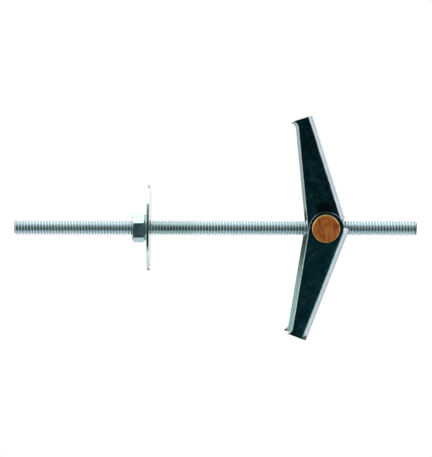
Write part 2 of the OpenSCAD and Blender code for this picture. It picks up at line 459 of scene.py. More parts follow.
# Painted shadow inside the upper wing's channel, where it meets the rod.
rod_side_painted_shadow = ring(head, ACROSS_Y, 11.5 * MM, 9.3 * MM)
# Painted shade at the far end of the lower web.
web_end_painted_shade = ring((head.x + WEB * cos(lower_lean) - LENGTH * sin(lower_lean), 0, lower_low.z),
               ACROSS_Y, 2.4 * MM, 1.6 * MM)

# Painted shade: the thread grows darker deeper in its grooves.
groove_painted_shade = ring((0, 0, 0), ACROSS_X, rod_radius - 0.08 * MM, rod_radius - 0.4 * MM)
# Painted shadow of the wide washer on the rod just beyond it.
washer_painted_shadow = ring((wide_high.x + 10 * MM, 0, 0), ALONG_X, 14 * MM, 4 * MM)
sawn = [ring((x, 0, 0), ALONG_X, 0.8 * MM, 0.4 * MM) for x in (rod_low.x, rod_high.x)]

thread_steel = steel("plated_thread", (0.88, 0.92, 0.95), (0.70, 0.79, 0.83), (0.2, 0.3),
                     line=(0.12, 3, 3),
                     stains_and_painted_light=[([washer_painted_shadow], (0.56, 0.66, 0.62), 0.2), ([groove_painted_shade], (0.40, 0.54, 0.56), 0.3),
                             ([sawn[0]], (0.45, 0.48, 0.5), 0.4),
                             ([sawn[1]], (0.10, 0.15, 0.15), 0.4)])
nut_steel = steel("plated_nut", (0.64, 0.80, 0.88), (0.38, 0.54, 0.52), (0.22, 0.36),
                  line=(3, 0.25, 0.25), cloud_scale=500.0)
split_steel = steel("plated_split_washer", (0.50, 0.64, 0.63), (0.28, 0.40, 0.38), (0.16, 0.3),
                    line=(0.3, 0.3, 0.3), cloud_scale=500.0)
washer_steel = steel("plated_washer", (0.79, 0.86, 0.89), (0.62, 0.69, 0.71), (0.16, 0.3),
                     line=(2, 2.5, 0.2),
                     stains_and_painted_light=[([on_rim, rim_front_painted_reflection], (0.15, 0.24, 0.23), 0.3)] + rim_ends)


def wing_steels(side, corner, turn, outside, inside, inside_painted_shade, depth, tilt=0.0):
    """A wing's two steels: bright outside the channel, with lines at a tilt, and dull inside.

    Outside is how bright the coat is there, inside is a colour, corner is the low corner of
    the wing's box, and the dark smears on the flanges, which also paint a dark reflection,
    reach to a depth in from the flanges' outside.
    """
    # Dark smears on the flanges' outside; in part they are a painted dark reflection.
    flanges = ring((0, 0, 0), ALONG_Y, -corner.y - depth, -corner.y - 0.4 * depth)
    # The ends of the tips are darker.
    darker_tips = ([ring((corner.x, 0, 0), ALONG_X, 1.4 * MM, 0.7 * MM)], (0.05, 0.08, 0.08), 0.3)
    bright = steel(
        "plated_wing_" + side, [outside * c for c in (0.82, 0.89, 0.94)],
        [outside * c for c in (0.64, 0.76, 0.81)], (0.04, 0.10), line=(0.9, 0.9, 7),
        cloud_scale=340.0, contrast=2.0, detail=1.2, turn=turn + tilt, line_share=0.3,
        speck=(400.0, 0.13, 0.05), speck_tone=(0.85, 0.9, 0.88), waves=0.05,
        stains_and_painted_light=[([pivot_painted_shadow], (0.12, 0.13, 0.09), 0.2), ([ear_top_painted_shade], (0.05, 0.08, 0.07), 0.2),
                ([web_end_painted_shade], (0.10, 0.14, 0.15), 0.3), darker_tips],
        smears_and_painted_reflection=[(flanges, (0.20, 0.31, 0.42), (3.5, 3.5, 8)),
                (flanges, (0.22, 0.27, 0.25), (1.8, 1.8, 3.6))])
    dull = steel("dull_inside_" + side, inside, [0.78 * c for c in inside], (0.45, 0.6),
                 line=(0.5, 0.5, 5), turn=turn, metal=0.35, stains_and_painted_light=[inside_painted_shade, darker_tips])
    return [bright, dull]


upper_steels = wing_steels("up", upper_low, -upper_lean, 0.91, (0.80, 0.91, 0.88),
                           ([rod_side_painted_shadow], (0.12, 0.16, 0.15), 0.5), 0.2 * MM)
lower_steels = wing_steels("down", lower_low, lower_lean, 1.05, (0.70, 0.93, 0.87),
                           ([head_side_painted_shade], (0.21, 0.31, 0.29), 0.5), 0.5 * MM, tilt=radians(18))
spring_steel = steel("spring_wire", (0.30, 0.30, 0.31), (0.16, 0.16, 0.17), (0.25, 0.4),
                     line=(0.3, 0.3, 0.3))
print("steels:", ", ".join(m.name for m in bpy.data.materials))

# %% [markdown]
# ## The copper-coloured trunnion
#
# The trunnion is a short bar of brass with a coppery skin. Its ends were sawn off, so
# they carry broad upright saw marks in red-brown and orange, and the edge round each
# end is rubbed to bright yellow brass, with a thin painted shadow at its very edge. The
# distance from the bar's axis tells the face from the rim, and lines that are long in Z
# and short in X are the saw marks.

# %% Mix the trunnion's finish
STAKE_OFFSET = 0.3 * MM  # how far below the axis the staking tool struck


def copper(name):
    """Sawn copper-coloured brass, rubbed to yellow at the rims, with a painted shadow at their very
    edge.
    """
    material, tree, shader = new_material(name)
    shader.inputs["Metallic"].default_value = 1.0

    clouds = effect(tree, CLOUDS, Bright=(1.0, 0.28, 0.065), Dull=(0.46, 0.085, 0.025), Scale=330.0,
                    Contrast=2.8)
    broad = effect(tree, LINES, Size=(0.7 * MM, 3 * MM, 5 * MM), Turn=(0, radians(-6), 0),
                   Contrast=7.0).outputs["Line"]
    fine = effect(tree, LINES, Size=(0.3 * MM, 3 * MM, 3 * MM), Turn=(0, radians(-10), 0),
                  Contrast=3.0).outputs["Line"]
    staked = head + Vector((0, 0, -STAKE_OFFSET))
    rubbed = mask(tree, ring(staked, ACROSS_Y, rim_radius - 0.55 * MM, rim_radius - 0.42 * MM))
    # Painted shadow at the very edge of the rim, where it meets the wings.
    rim_edge_painted_shadow = mask(tree, ring(staked, ACROSS_Y, rim_radius - 0.16 * MM, rim_radius - 0.02 * MM))
    brass = mix_colour(tree, clouds.outputs["Cloud"], (0.42, 0.21, 0.04), (0.85, 0.58, 0.24))

    colour = mix_colour(tree, math_node(tree, "MULTIPLY", broad, 0.8), clouds.outputs["Color"],
                        (1.0, 0.42, 0.10))
    colour = mix_colour(tree, math_node(tree, "MULTIPLY", fine, 0.5), colour, (0.32, 0.07, 0.025))
    colour = mix_colour(tree, rubbed, colour, brass)
    colour = mix_colour(tree, rim_edge_painted_shadow, colour, (0.09, 0.09, 0.05))
    rough = ramp(tree, rubbed, 0.0, 1.0, 0.56, 0.24, smooth=False)
    feed(tree, shader, colour, rough, fine, 0.03 * MM)
    return material


barrel_copper = copper("sawn_copper")
print("trunnion finish:", barrel_copper.name)

# %% [markdown]
# ## The threaded rod
#
# A screw thread could be a picture in the bump, but this one is seen in outline along
# the whole rod, so it is real. One pitch of the thread's outline is a short list of
# points: how far along the pitch, and how deep. Each point becomes a row that climbs
# one pitch in every turn about the axis, which is what makes it a helix. Rows that
# run past the sawn ends are held back at the end plane, inside the ends' chamfers.

# %% Roll the thread
PITCH = 1.27 * MM
THREAD_DEPTH = 0.57 * PITCH
TURN_STEPS = 36
END_STEP = 0.06 * MM  # how far the chamfer at an end goes below the root
END_SLOPE = 2.0  # how fast the chamfer widens, in radius for each step inwards
# (share of the pitch, depth below the crest) along one pitch; the flanks stand at 60 degrees
OUTLINE = [(-0.11, 0.05 * PITCH), (-0.07, 0.015 * PITCH), (-0.03, 0), (0.03, 0),
           (0.07, 0.015 * PITCH), (0.11, 0.05 * PITCH),
           (0.39, 0.535 * PITCH), (0.44, THREAD_DEPTH), (0.56, THREAD_DEPTH),
           (0.61, 0.535 * PITCH)]


def thread(start, end, radius):
    """Closed surface of a right-handed thread along X between two chamfered ends."""
    end_radius = radius - THREAD_DEPTH - END_STEP
    first = floor((start - rod_low.x) / PITCH) - 2
    last = ceil((end - rod_low.x) / PITCH) + 1
    rows = []
    for turn in range(first, last):
        for share, depth in OUTLINE:
            row = []
            for k, angle in enumerate(spread(0, 2 * pi, TURN_STEPS)):
                x = rod_low.x + (turn + share + k / TURN_STEPS) * PITCH
                held = min(max(x, start), end)
                room = end_radius + END_SLOPE * min(held - start, end - held)
                r = min(radius - depth, room)
                row.append(Vector((held, r * cos(angle), r * sin(angle))))
            rows.append(row)
    points, faces = skin(rows, closed_rows=False)
    for x in (start, end):
        faces.append(tuple(range(len(points), len(points) + TURN_STEPS)))
        points += hoop(x, end_radius, TURN_STEPS)
    return points, faces


rod = make_piece("rod_threaded", *thread(rod_low.x, rod_high.x, rod_radius))
settle(rod, "rod", [thread_steel], ["threaded_rod"], sharp=50, weigh=True)

# %% [markdown]
# ## Tapping a hole
#
# The nut and the trunnion run on the same thread. A real tap is a rod with the same
# helix, a little larger, so that is how the holes are cut here too: a threaded
# cutter is taken away from the blank with a boolean. The cutter starts from the same
# point of the helix as the rod, so the two threads lie in each other's grooves.

# %% Define the tap
THREAD_PLAY = 0.06 * MM
SINK_DEPTH, SINK_SIDES = 0.5 * MM, 48
SINK_MOUTH, SINK_FOOT = 0.85 * MM, -0.15 * MM  # from the thread's crest, outside and inside


def tap_hole(blank, start, end):
    """Cut the rod's thread through a blank, with a countersink at each end."""
    spare = 2 * PITCH
    radius = rod_radius + THREAD_PLAY
    cutters = [make_piece("tap", *thread(start - spare, end + spare, radius))]
    for x, inward in ((start, SINK_DEPTH), (end, -SINK_DEPTH)):
        profile = [(-inward, 0), (-inward, radius + SINK_MOUTH), (inward, radius + SINK_FOOT),
                   (inward, 0)]
        rows = [hoop(x + along, r, SINK_SIDES) for along, r in profile]
        cutters.append(make_piece("sink", *skin(rows)))
    for cutter in cutters:
        cut = blank.modifiers.new(cutter.name, "BOOLEAN")
        cut.operation, cut.solver, cut.object = "DIFFERENCE", "EXACT", cutter
        apply_modifiers(blank)
        bpy.data.objects.remove(cutter)


# %% [markdown]
# ## The hexagon nut
#
# A nut is a slice of hexagon bar whose corners were turned off at 30 degrees on both
# faces, which leaves the curved edges that everyone knows. So each point of the
# hexagon's outline gets its own height: how far down the chamfer's cone it lies.
# The corners between the flats are rolled, not sharp.

# %% Make the nut
NUT_TURN = radians(11.6)
NUT_FLATS = 11.11 * MM
FACE_SHARE = 0.93  # the round face's width, as a share of the width across the flats
HEX_ROUND = 0.35 * MM
HEX_STEPS = [0, 1.2, 2.6, 4.5, 8, 12, 17, 23.5]  # degrees from a corner to a flat's middle

half_flats = NUT_FLATS / 2
face_radius = FACE_SHARE * half_flats


def hex_radius(from_flat):
    """Distance from the axis to a hexagon with rolled corners, in that direction."""
    arc_centre = (half_flats - HEX_ROUND) / cos(radians(30))
    flat_end = atan2((half_flats - HEX_ROUND) * tan(radians(30)), half_flats)
    if abs(from_flat) <= flat_end:
        return half_flats / cos(from_flat)
    off = radians(30) - abs(from_flat)
    return arc_centre * cos(off) + sqrt(HEX_ROUND ** 2 - (arc_centre * sin(off)) ** 2)


def hex_outline():
    """(angle, radius) round the hexagon, with most points near its corners."""
    outline = []
    for corner in range(6):
        for step in [-s for s in HEX_STEPS[:0:-1]] + HEX_STEPS:
            from_flat = radians(30 - abs(step))
            outline.append((radians(60 * corner + 30 + step) + pi + NUT_TURN, hex_radius(from_flat)))
        outline.append((radians(60 * corner + 60) + pi + NUT_TURN, hex_radius(0)))
    return outline


rows = [[], [], [], []]
for angle, radius in hex_outline():
    drop = max(0.0, (radius - face_radius) * tan(radians(30)))
    for row, x, r in zip(rows, (nut_low.x, nut_low.x + drop, nut_high.x - drop, nut_high.x),
                         (face_radius, radius, radius, face_radius)):
        row.append(Vector((x, r * cos(angle), r * sin(angle))))
points, faces = skin(rows)
count = len(rows[0])
faces += [tuple(range(count)), tuple(range(3 * count, 4 * count))]
nut = make_piece("nut_hexagon", points, faces)
tap_hole(nut, nut_low.x, nut_high.x)
settle(nut, "nut", [nut_steel], ["hex_nut"], sharp=25)

# %% [markdown]
# ## Turned and bent rings
#
# A ring is one outline carried round the rod. The wide washer is punched, so the edge
# on the punch side is rolled over and the other is nearly square. The split washer is
# a bent bar: its outline is carried only from one side of the cut to the other, and
# the cut itself is oblique, so the angle where the row ends changes with X.

# %% Make the washers
CORNER_STEPS, WIDE_STEPS, SPLIT_STEPS = 4, 144, 96


def arc(centre, radius, start, end):
    """Points of an arc in the plane of the outline, angles in degrees."""
    return [(centre[0] + radius * cos(radians(a)), centre[1] + radius * sin(radians(a)))
            for a in spread(start, end, CORNER_STEPS)]


def rounded_bar(x0, x1, inner, outer, left_round, right_round):
    """Outline of a ring's section as (x, radius), its four corners rounded."""
    a, b = left_round, right_round
    return (arc((x0 + a, outer - a), a, 180, 90) + arc((x1 - b, outer - b), b, 90, 0)
            + arc((x1 - b, inner + b), b, 0, -90) + arc((x0 + a, inner + a), a, -90, -180))


WASHER_BORE = 3.475 * MM
WASHER_LEAN, WASHER_YAW = radians(0.4), radians(0.7)
ROLLED_EDGE, SQUARE_EDGE = 0.3 * MM, 0.1 * MM

section = rounded_bar(wide_low.x, wide_high.x, WASHER_BORE, wide_high.z, ROLLED_EDGE, SQUARE_EDGE)
rows = [[Vector((x, r * cos(a), r * sin(a))) for x, r in section]
        for a in spread(0, 2 * pi, WIDE_STEPS)]
wide = make_piece("washer_wide", *skin(rows))
middle = Vector(((wide_low.x + wide_high.x) / 2, 0, 0))
wide.data.transform(Matrix.Translation(middle) @ Matrix.Rotation(WASHER_LEAN, 4, "Y")
                    @ Matrix.Rotation(-WASHER_YAW, 4, "Z") @ Matrix.Translation(-middle))
settle(wide, "washers", [washer_steel], ["large_washer"])

SPLIT_GAP = 0.6 * MM
SPLIT_SLOPE = 0.35
BAR_EDGE = 0.12 * MM

section = rounded_bar(split_low.x, split_high.x, WASHER_BORE, split_high.z, BAR_EDGE, BAR_EDGE)
split_middle = (split_low.x + split_high.x) / 2
rows = []
for k in range(SPLIT_STEPS + 1):
    row = []
    for x, r in section:
        skew = SPLIT_SLOPE * (x - split_middle) / r
        half_gap = asin(SPLIT_GAP / 2 / r)
        a = half_gap + (2 * pi - 2 * half_gap) * k / SPLIT_STEPS + skew
        row.append(Vector((x, r * cos(a), r * sin(a))))
    rows.append(row)
points, faces = skin(rows)
count = len(section)
faces += [tuple(range(count)), tuple(range(SPLIT_STEPS * count, (SPLIT_STEPS + 1) * count))]
split = make_piece("washer_split", points, faces)
settle(split, "washers", [split_steel], ["lock_washer"])

# %% [markdown]
# ## The trunnion
#
# The trunnion is turned bar. Both ends were staked over the wings' ears, which leaves
# a low rim with a rounded shoulder, and the staking tool struck a little low. The sawn
# end isn't quite flat, so the rings of the end face are pushed in and out by a few
# hundredths of a millimetre in upright bands. Then the hole for the rod is tapped.

# %% Make the trunnion
BARREL_RADIUS = 5.65 * MM
RIM_THICKNESS = 0.45 * MM
# (in from the rim, down from the end face) along the staked shoulder
SHOULDER = [(0.50 * MM, 0), (0.42 * MM, 0.02 * MM), (0.28 * MM, 0.10 * MM), (0.14 * MM, 0.21 * MM),
            (0.04 * MM, 0.33 * MM), (0, 0.42 * MM)]
UNDERCUT, UNDERCUT_STEP = 0.15 * MM, 0.02 * MM  # where a rim comes down to the bar
SAW_DEPTH, BAND_WIDTH, BAND_LENGTH = 0.03 * MM, 0.9 * MM, 9 * MM
SAW_SEED = 3.7
FACE_RINGS, BARREL_SIDES = 14, 96

end_y = barrel_high.y
rim_y = end_y - RIM_THICKNESS


def saw_step(x, z):
    """How far the sawn face stands proud at a place: bands that run up and down."""
    return SAW_DEPTH * noise.noise(Vector((x / BAND_WIDTH, SAW_SEED, z / BAND_LENGTH)))


def barrel_section(side):
    """Half of the trunnion's section as (radius, y), from the middle of one end."""
    half = [(r, end_y) for r in spread(0, rim_radius - SHOULDER[0][0], FACE_RINGS)[:-1]]
    half += [(rim_radius - inward, end_y - drop) for inward, drop in SHOULDER]
    half += [(rim_radius, rim_y), (BARREL_RADIUS + UNDERCUT, rim_y - UNDERCUT_STEP),
             (BARREL_RADIUS, rim_y - UNDERCUT)]
    return [(r, side * y) for r, y in half]


rows = []
for r, y in barrel_section(-1) + barrel_section(1)[::-1]:
    row = []
    for a in angles(BARREL_SIDES):
        x, z = r * cos(a), r * sin(a)
        on_face = abs(y) == end_y and r < rim_radius - SHOULDER[0][0]
        struck = STAKE_OFFSET * min(max((abs(y) - end_y) / SHOULDER[-1][1] + 1, 0), 1)
        row.append(Vector((head.x + x, y + (saw_step(x, z) if on_face else 0), z - struck)))
    rows.append(row)
barrel = make_piece("trunnion_bar", *skin(rows))
tap_hole(barrel, head.x - BARREL_RADIUS, head.x + BARREL_RADIUS)
settle(barrel, "head", [barrel_copper], ["trunnion"])

# %% [markdown]
# ## The wings
#
# A wing is a flat blank that a press folds into a channel, and it is made the same way
# here. The blank's outline is drawn flat, with both pivot holes. It is filled with
# triangles that keep to the fold lines. Then each point is rolled round the bends to
# its place, the sheet is given its thickness, and its cut edges are broken. Drawing
# the folded shape at once would be harder: the outline is simple only when flat.
#
# In the blank, `s` runs across the strip from the middle of the web and `u` runs
# along the wing from the pivot to the tip.

# %% Draw the blank
SHEET = 1.1 * MM
BEND = 2.6 * MM
EAR_RADIUS = 7.5 * MM
EAR_END = 7.05 * MM  # the ears are a little flattened at their end
EAR_HOLE = 5.95 * MM
TAPER = radians(12.1)
TOOTH_RADIUS, TOOTH_HEIGHT = 3 * MM, 1.75 * MM
LIP = 3.4 * MM
NOTCH_FLOOR = 1.5 * MM
NOTCH_HALF = rod_radius + 0.6 * MM
NOTCH_ROUND = 0.8 * MM
EAR_STEPS, TOOTH_STEPS, NOTCH_STEPS, HOLE_STEPS = 30, 8, 6, 56

# half widths of the web, to where its bends begin, on the inner and the outer ear's side
half_web = {-1: -upper_low.y - BEND, 1: upper_high.y - BEND}
bend_v = WEB - BEND
bend_length = BEND * pi / 2


def flange_edge(start):
    """(v, u) points of a flange's edge: from the bend, round the ear, up to the tip."""
    inward = Vector((cos(TAPER), -sin(TAPER)))
    along = Vector((sin(TAPER), cos(TAPER)))
    tangent = -EAR_RADIUS * inward
    edge_length = (LENGTH - tangent.y + TOOTH_HEIGHT * inward.y) / along.y
    hollow = acos(1 - TOOTH_HEIGHT / TOOTH_RADIUS)
    centre = tangent + (edge_length - TOOTH_RADIUS * sin(hollow)) * along - TOOTH_RADIUS * inward
    points = []
    for a in spread(asin(start / EAR_RADIUS), -pi - TAPER, EAR_STEPS):
        reach = EAR_END if -pi < a < 0 else EAR_RADIUS
        points.append(Vector((EAR_RADIUS * cos(a), reach * sin(a))))
    for a in spread(0, hollow, TOOTH_STEPS):
        points.append(centre + TOOTH_RADIUS * (cos(a) * inward + sin(a) * along))
    return points + [Vector((bend_v, LENGTH))]


def on_strip(side, v):
    """Where a flange's v lies on the strip, on the side of the inner or the outer ear."""
    return side * (half_web[side] + bend_length + bend_v - v)


def blank_outline():
    """The closed outline of the flat blank, as (s, u) points."""
    outline = [Vector((on_strip(1, v), u)) for v, u in flange_edge(-LIP)]
    outline += [Vector((on_strip(-1, v), u)) for v, u in flange_edge(NOTCH_FLOOR)[::-1]]
    corner = Vector((NOTCH_HALF - NOTCH_ROUND, NOTCH_FLOOR - NOTCH_ROUND))
    for a in spread(90, 0, NOTCH_STEPS):
        outline.append(corner + NOTCH_ROUND * Vector((cos(radians(a)), sin(radians(a)))))
    return outline + [Vector((NOTCH_HALF, -LIP))]


outline = blank_outline()
print(f"the blank is {1000 * (max(p.x for p in outline) - min(p.x for p in outline)):.1f} mm wide,"
      f" {1000 * (max(p.y for p in outline) - min(p.y for p in outline)):.1f} mm long")

# %% [markdown]
# ### Fill and fold
#
# A constrained triangulation fills the outline. It takes the fold lines as edges too,
# so no triangle spans a bend, and it takes a loose grid of inner points, which let the
# flats carry the slight waves that pressed sheet has. Those waves matter: on bright
# metal it is the bending of a reflection that tells the eye what is sheet.
#
# The blanking punch rolls the edge of the sheet over on the side that it enters. So
# there are rows of points close to the edge, and `roll_depth` says how far each sinks,
# as on a quarter of a circle. That roll is the white line along a dark edge. The tip is
# sheared off the strip afterwards, so it has no roll, and the trunnion's rim covers
# the edges of the holes.

# %% Fill the blank
BEND_STEPS = 8
GRID = 1.9 * MM
WAVE, WAVE_WIDTH, WAVE_LENGTH = 0.035 * MM, 7 * MM, 11 * MM
ROLL = 0.24 * MM
ROLL_STEPS = (0.13, 0.35, 0.65, 1.0)
EDGE_STEP = 0.8 * MM
TIP_EDGE, TIP_CLEAR = LENGTH - 0.01 * MM, LENGTH - 0.1 * MM  # where the tip and its margin begin
CROWDED = 0.93  # a row's point is dropped when less than this share of its distance is left
BEND_CLEAR = 0.5 * MM  # how far the grid's points stay from a bend


def cut_finely(loop):
    """The same closed outline with its long straight edges divided."""
    fine = []
    for i, p in enumerate(loop):
        q = loop[(i + 1) % len(loop)]
        parts = max(1, round((q - p).length / EDGE_STEP))
        fine += [p.lerp(q, k / parts) for k in range(parts)]
    return fine


def edge_distance(p, loop):
    """How far a point lies from the rolled edge: all of the outline but the tip."""
    nearest = inf
    for i, a in enumerate(loop):
        along = loop[(i + 1) % len(loop)] - a
        t = min(max((p - a).dot(along) / along.length_squared, 0), 1)
        if min(a.y, a.y + along.y) < TIP_EDGE:
            nearest = min(nearest, (p - a - t * along).length)
    return nearest


def roll_depth(distance):
    """How far the outside sinks at a distance from a cut edge."""
    t = min(distance / ROLL, 1)
    return ROLL * (1 - sqrt(1 - (1 - t) ** 2))


def rows_beside(loop):
    """Points beside a closed outline, one for each of its points at each step of the roll."""
    beside = []
    for i, p in enumerate(loop):
        along = loop[(i + 1) % len(loop)] - loop[i - 1]
        inward = Vector((-along.y, along.x)).normalized()
        for step in ROLL_STEPS:
            q = p + step * ROLL * inward
            if edge_distance(q, loop) > CROWDED * step * ROLL and q.y < TIP_CLEAR:
                beside.append(q)
    return beside


def in_bend(s, spare):
    """Whether a place across the strip lies in a bend, or within spare of one."""
    past = abs(s) - half_web[1 if s >= 0 else -1]
    return -spare < past < bend_length + spare


def fill_blank():
    """Points, triangles and roll of the flat blank, with its two pivot holes."""
    edge = cut_finely(outline)
    holes = [Vector((on_strip(side, 0), 0)) for side in (-1, 1)]
    verts, edges = [], []
    for loop in [edge] + [[hole + EAR_HOLE * Vector((cos(a), sin(a))) for a in angles(HOLE_STEPS)]
                          for hole in holes]:
        base = len(verts)
        verts += loop
        edges += [(base + k, base + (k + 1) % len(loop)) for k in range(len(loop))]
    rows = ceil((LENGTH + LIP) / GRID)
    for side in (-1, 1):
        for past in spread(0, bend_length, BEND_STEPS):
            s = side * (half_web[side] + past)
            base = len(verts)
            verts += [Vector((s, u)) for u in spread(-LIP, LENGTH, rows)]
            edges += [(base + k, base + k + 1) for k in range(rows)]
    verts += [p for p in rows_beside(edge) if not in_bend(p.x, 0)]
    reach = max(abs(p.x) for p in verts)
    for i in range(int(reach / GRID) + 1):
        for k in range(int((LENGTH + EAR_RADIUS) / GRID) + 1):
            for side in (-1, 1):
                p = Vector((side * (i + 0.5 * (k % 2)) * GRID, k * GRID - EAR_RADIUS))
                if not in_bend(p.x, BEND_CLEAR) and edge_distance(p, edge) > ROLL + EDGE_STEP:
                    verts.append(p)
    flat, _, triangles, *_ = delaunay_2d_cdt(verts, edges, [], 1, SAME_POINT)
    kept = []
    for t in triangles:
        middle = sum((flat[i] for i in t), Vector((0, 0))) / len(t)
        if all((middle - hole).length > EAR_HOLE for hole in holes):
            kept.append(tuple(t))
    return flat, kept, [roll_depth(edge_distance(p, edge)) for p in flat]


def fold(s, u, wave):
    """A point of the blank on the outside of the folded channel, as (v, y, u)."""
    side = 1 if s >= 0 else -1
    past = abs(s) - half_web[side]
    if past <= 0:
        return Vector((WEB + wave, s, u))
    a = min(past / BEND, pi / 2)
    flange = max(0.0, past - bend_length)
    r = BEND + wave
    return Vector((bend_v + r * cos(a) - flange, side * (half_web[side] + r * sin(a)), u))


flat, triangles, rolls = fill_blank()
print(f"the filled blank has {len(triangles)} triangles")

# %% [markdown]
# ### From blank to wing
#
# Both wings are the same pressing, one turned over about the rod. How far each leans
# was worked out from the far end of its box. The outside and the inside of the sheet
# are the same points folded at two depths, and a strip of faces along every cut edge
# joins them. A solidify modifier would be quicker, but it would sink the inside along
# with the rolled edges. The pivot holes are loose, so the upper wing has slipped a
# little away from the wall and the lower one sits a little askew.

# %% Press the wings
UPPER_SLIP = 0.1 * MM
LOWER_ASKEW = radians(-3)


def cut_edges(faces):
    """The edges that only one of the faces has, in that face's order."""
    seen = {}
    for face in faces:
        for i, a in enumerate(face):
            b = face[(i + 1) % len(face)]
            seen.setdefault((min(a, b), max(a, b)), []).append((a, b))
    return [uses[0] for uses in seen.values() if len(uses) == 1]


def press_wing(name, lean, seed, slip=0.0, askew=0.0, turned_over=False):
    """Fold both sides of the sheet, join them and place the wing on its pivot."""
    outside, inside = [], []
    for p, roll in zip(flat, rolls):
        wave = WAVE * noise.noise(Vector((p.x / WAVE_WIDTH, p.y / WAVE_LENGTH, seed)))
        outside.append(fold(p.x, p.y, wave - roll))
        inside.append(fold(p.x, p.y, wave - SHEET))
    count = len(flat)
    faces = triangles + [tuple(i + count for i in t[::-1]) for t in triangles]
    faces += [(b, a, a + count, b + count) for a, b in cut_edges(triangles)]
    piece = make_piece(name, outside + inside, faces)
    for polygon in piece.data.polygons[len(triangles):2 * len(triangles)]:
        polygon.material_index = 1  # the second of its materials, for the inside
    place = Matrix.Translation(head + Vector((slip, 0, 0)))
    if turned_over:
        place = place @ Matrix.Rotation(pi, 4, "X")
    piece.data.transform(place @ Matrix.Rotation(-lean, 4, "Y") @ Matrix.Rotation(askew, 4, "Z"))
    return piece


upper = press_wing("wing_upper", upper_lean, seed=1.3, slip=UPPER_SLIP)
lower = press_wing("wing_lower", lower_lean, seed=6.1, askew=LOWER_ASKEW, turned_over=True)
settle(upper, "wing_up", upper_steels, ["upper_wing"], weigh=True)
settle(lower, "wing_down", lower_steels, ["lower_wing"], weigh=True)
print(f"leans: {degrees(upper_lean):.1f} and {degrees(lower_lean):.1f} degrees")

# %% [markdown]
# ## The torsion spring
#
# One wire is wound round the trunnion twice on each side of the rod. Its two free
# legs press on the upper wing and the loop that joins the two coils presses on the
# lower one. A real spring winds tighter as the wings fold. Here it is three pieces
# that share the same path: the coils stay on the trunnion, and each set of legs
# turns with its wing and carries the last part of a turn, which lies over the coil
# at rest and slides round it as the wing folds, so the wire never breaks.

# %% Wind the spring
WIRE = 0.45 * MM
COIL_RADIUS = 6.45 * MM
COIL_START = rod_radius + 0.75 * MM
TURN_PITCH = 0.94 * MM
TURNS = 2
LEG_V = 7.25 * MM
LEG_REACH = 18 * MM
LOOP_ROUND = 1.5 * MM
CARRIED = radians(75)  # the part of a turn that moves with a wing
COIL_THINNER = 0.97  # the coils' wire is a little thinner than the carried wire over it
COIL_STEP, LEG_STEPS, LOOP_STEPS, WIRE_SIDES = radians(10), 9, 5, 10

coil_from = -lower_lean
coil_to = 2 * pi * TURNS + upper_lean
coil_end_y = COIL_START + TURN_PITCH * (coil_to - coil_from) / (2 * pi)


def coil_point(angle):
    """A point of the coil on the +Y side; its first and last part lie flat."""
    climb = (angle - coil_from - CARRIED) / (coil_to - coil_from - 2 * CARRIED)
    y = COIL_START + (coil_end_y - COIL_START) * min(max(climb, 0), 1)
    return Vector((COIL_RADIUS * cos(angle), y, COIL_RADIUS * sin(angle)))


def coil(start, end):
    """The coil's points between two angles, a small step apart."""
    return [coil_point(a) for a in spread(start, end, ceil((end - start) / COIL_STEP))]


def leg_point(u, y, lean, side):
    """A point of a leg: u along its wing from the coil, side 1 up and -1 down."""
    v = COIL_RADIUS + (LEG_V - COIL_RADIUS) * u / LEG_REACH
    return Vector((v * cos(lean) - u * sin(lean), y, side * (u * cos(lean) + v * sin(lean))))


def other_side(path):
    """The same path on the -Y side."""
    return [Vector((p.x, -p.y, p.z)) for p in path]


def tube(path, radius):
    """Closed surface of a round wire along a path."""
    rows, side = [], None
    for i, p in enumerate(path):
        ahead = (path[min(i + 1, len(path) - 1)] - path[max(i - 1, 0)]).normalized()
        side = ahead.orthogonal() if side is None else side
        side = (side - side.dot(ahead) * ahead).normalized()
        across = ahead.cross(side)
        rows.append([head + p + radius * (cos(a) * side + sin(a) * across)
                     for a in angles(WIRE_SIDES)])
    points, faces = skin(rows)
    last = len(points) - WIRE_SIDES
    return points, faces + [tuple(range(WIRE_SIDES)), tuple(range(last, len(points)))]


def wire_piece(name, body, paths, radius):
    """One piece made of several wires."""
    points, faces = [], []
    for path in paths:
        more_points, more_faces = tube(path, radius)
        faces += [tuple(i + len(points) for i in face) for face in more_faces]
        points += more_points
    settle(make_piece(name, points, faces), body, [spring_steel],
           ["torsion_spring"], sharp=50)


leg_steps = spread(0, LEG_REACH, LEG_STEPS)[1:]
upper_leg = [leg_point(u, coil_end_y, upper_lean, 1) for u in leg_steps]
lower_leg = [leg_point(u, COIL_START, lower_lean, -1) for u in leg_steps[:-1]]
for a in spread(0, 90, LOOP_STEPS):
    lower_leg.append(leg_point(LEG_REACH - LOOP_ROUND * (1 - sin(radians(a))),
                               COIL_START - LOOP_ROUND * (1 - cos(radians(a))), lower_lean, -1))

coils = coil(coil_from, coil_to)
wire_piece("spring_coils", "head", [coils, other_side(coils)], COIL_THINNER * WIRE)
carried = coil(coil_to - CARRIED, coil_to) + upper_leg
wire_piece("spring_upper_legs", "wing_up", [carried, other_side(carried)], WIRE)
carried = coil(coil_from, coil_from + CARRIED)[::-1] + lower_leg
wire_piece("spring_lower_loop", "wing_down", [carried + other_side(carried)[::-1]], WIRE)

# %% [markdown]
# ## The studio
#
# Bright metal looks like what stands round it. The object hangs over a plain pale
# floor in a white room, into which the floor fades at its edge. Low in front the room
# is greyer, and at both sides it has a grey post. The room has a dark opening in
# front, as a studio has where the camera stands, and a low grey skirting behind. Both
# are a little uneven, because a real room is never one tone. Flat faces that look at
# the opening turn nearly black and the edges beside them stay white, which is what
# gives polished steel its hard contrast.
#
# The room is a world shader that depends on direction alone, so it stays put when the
# view changes. The camera itself sees plain white. Two soft boxes light what isn't
# bright metal and throw the object's shadow on the floor.

